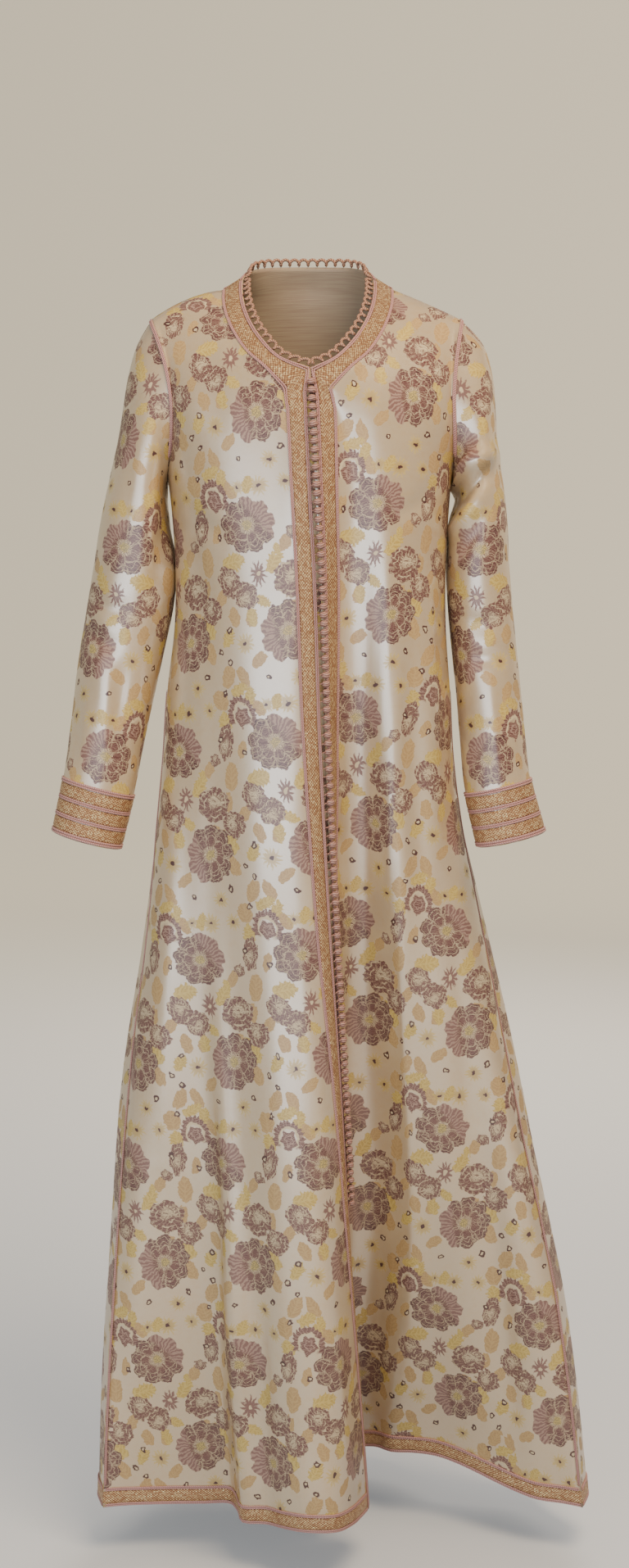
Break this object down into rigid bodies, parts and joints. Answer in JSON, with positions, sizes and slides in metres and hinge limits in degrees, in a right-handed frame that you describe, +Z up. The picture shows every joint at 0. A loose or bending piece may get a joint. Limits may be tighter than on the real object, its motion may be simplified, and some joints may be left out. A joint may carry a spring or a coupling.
{
  "type": "moroccan kaftan",
  "caption": "Long A-line kaftan of flowered satin brocade with a round neck, long sleeves and a knotted front closing, filled out hollow as worn.",
  "frame": {"origin": "midway between the shoulder tips, where the wearer's shoulders hold the kaftan", "axes": "+Z up, -Y towards the front, +X towards the wearer's left"},
  "size_m": [0.637, 0.4143, 1.4797],
  "materials": {
    "satin_brocade": "champagne satin brocade with mauve, cream and pale gold flowers",
    "gold_braid": "woven metallic gold braid",
    "rose_cord": "dusty rose silk cord",
    "knot_silk": "rose silk and gold thread knots"
  },
  "bodies": {
    "root": {"front_right": "satin_brocade", "front_left": "satin_brocade", "back": "satin_brocade", "sleeve_right": "satin_brocade", "sleeve_left": "satin_brocade", "front_braid_right": "gold_braid", "front_cord_inner_right": "rose_cord", "front_cord_outer_right": "rose_cord", "front_braid_left": "gold_braid", "front_cord_inner_left": "rose_cord", "front_cord_outer_left": "rose_cord", "back_neck_braid": "gold_braid", "back_neck_cord_inner": "rose_cord", "back_neck_cord_outer": "rose_cord", "hem_cord_low_right": "rose_cord", "hem_braid_right": "gold_braid", "hem_cord_high_right": "rose_cord", "hem_cord_low_left": "rose_cord", "hem_braid_left": "gold_braid", "hem_cord_high_left": "rose_cord", "hem_cord_low_back": "rose_cord", "hem_braid_back": "gold_braid", "hem_cord_high_back": "rose_cord", "cuff_cord_1_right": "rose_cord", "cuff_braid_1_right": "gold_braid", "cuff_cord_2_right": "rose_cord", "cuff_braid_2_right": "gold_braid", "cuff_cord_3_right": "rose_cord", "cuff_braid_3_right": "gold_braid", "cuff_cord_4_right": "rose_cord", "cuff_cord_1_left": "rose_cord", "cuff_braid_1_left": "gold_braid", "cuff_cord_2_left": "rose_cord", "cuff_braid_2_left": "gold_braid", "cuff_cord_3_left": "rose_cord", "cuff_braid_3_left": "gold_braid", "cuff_cord_4_left": "rose_cord", "armhole_cord_right": "rose_cord", "armhole_cord_left": "rose_cord", "side_cord_right": "rose_cord", "side_cord_left": "rose_cord", "buttons_1": "knot_silk", "buttons_2": "knot_silk", "buttons_3": "knot_silk", "buttons_4": "knot_silk", "buttons_5": "knot_silk", "buttons_6": "knot_silk", "buttons_7": "knot_silk", "buttons_8": "knot_silk", "picot_right": "rose_cord", "picot_left": "rose_cord", "picot_back": "rose_cord"}
  },
  "joints": []
}
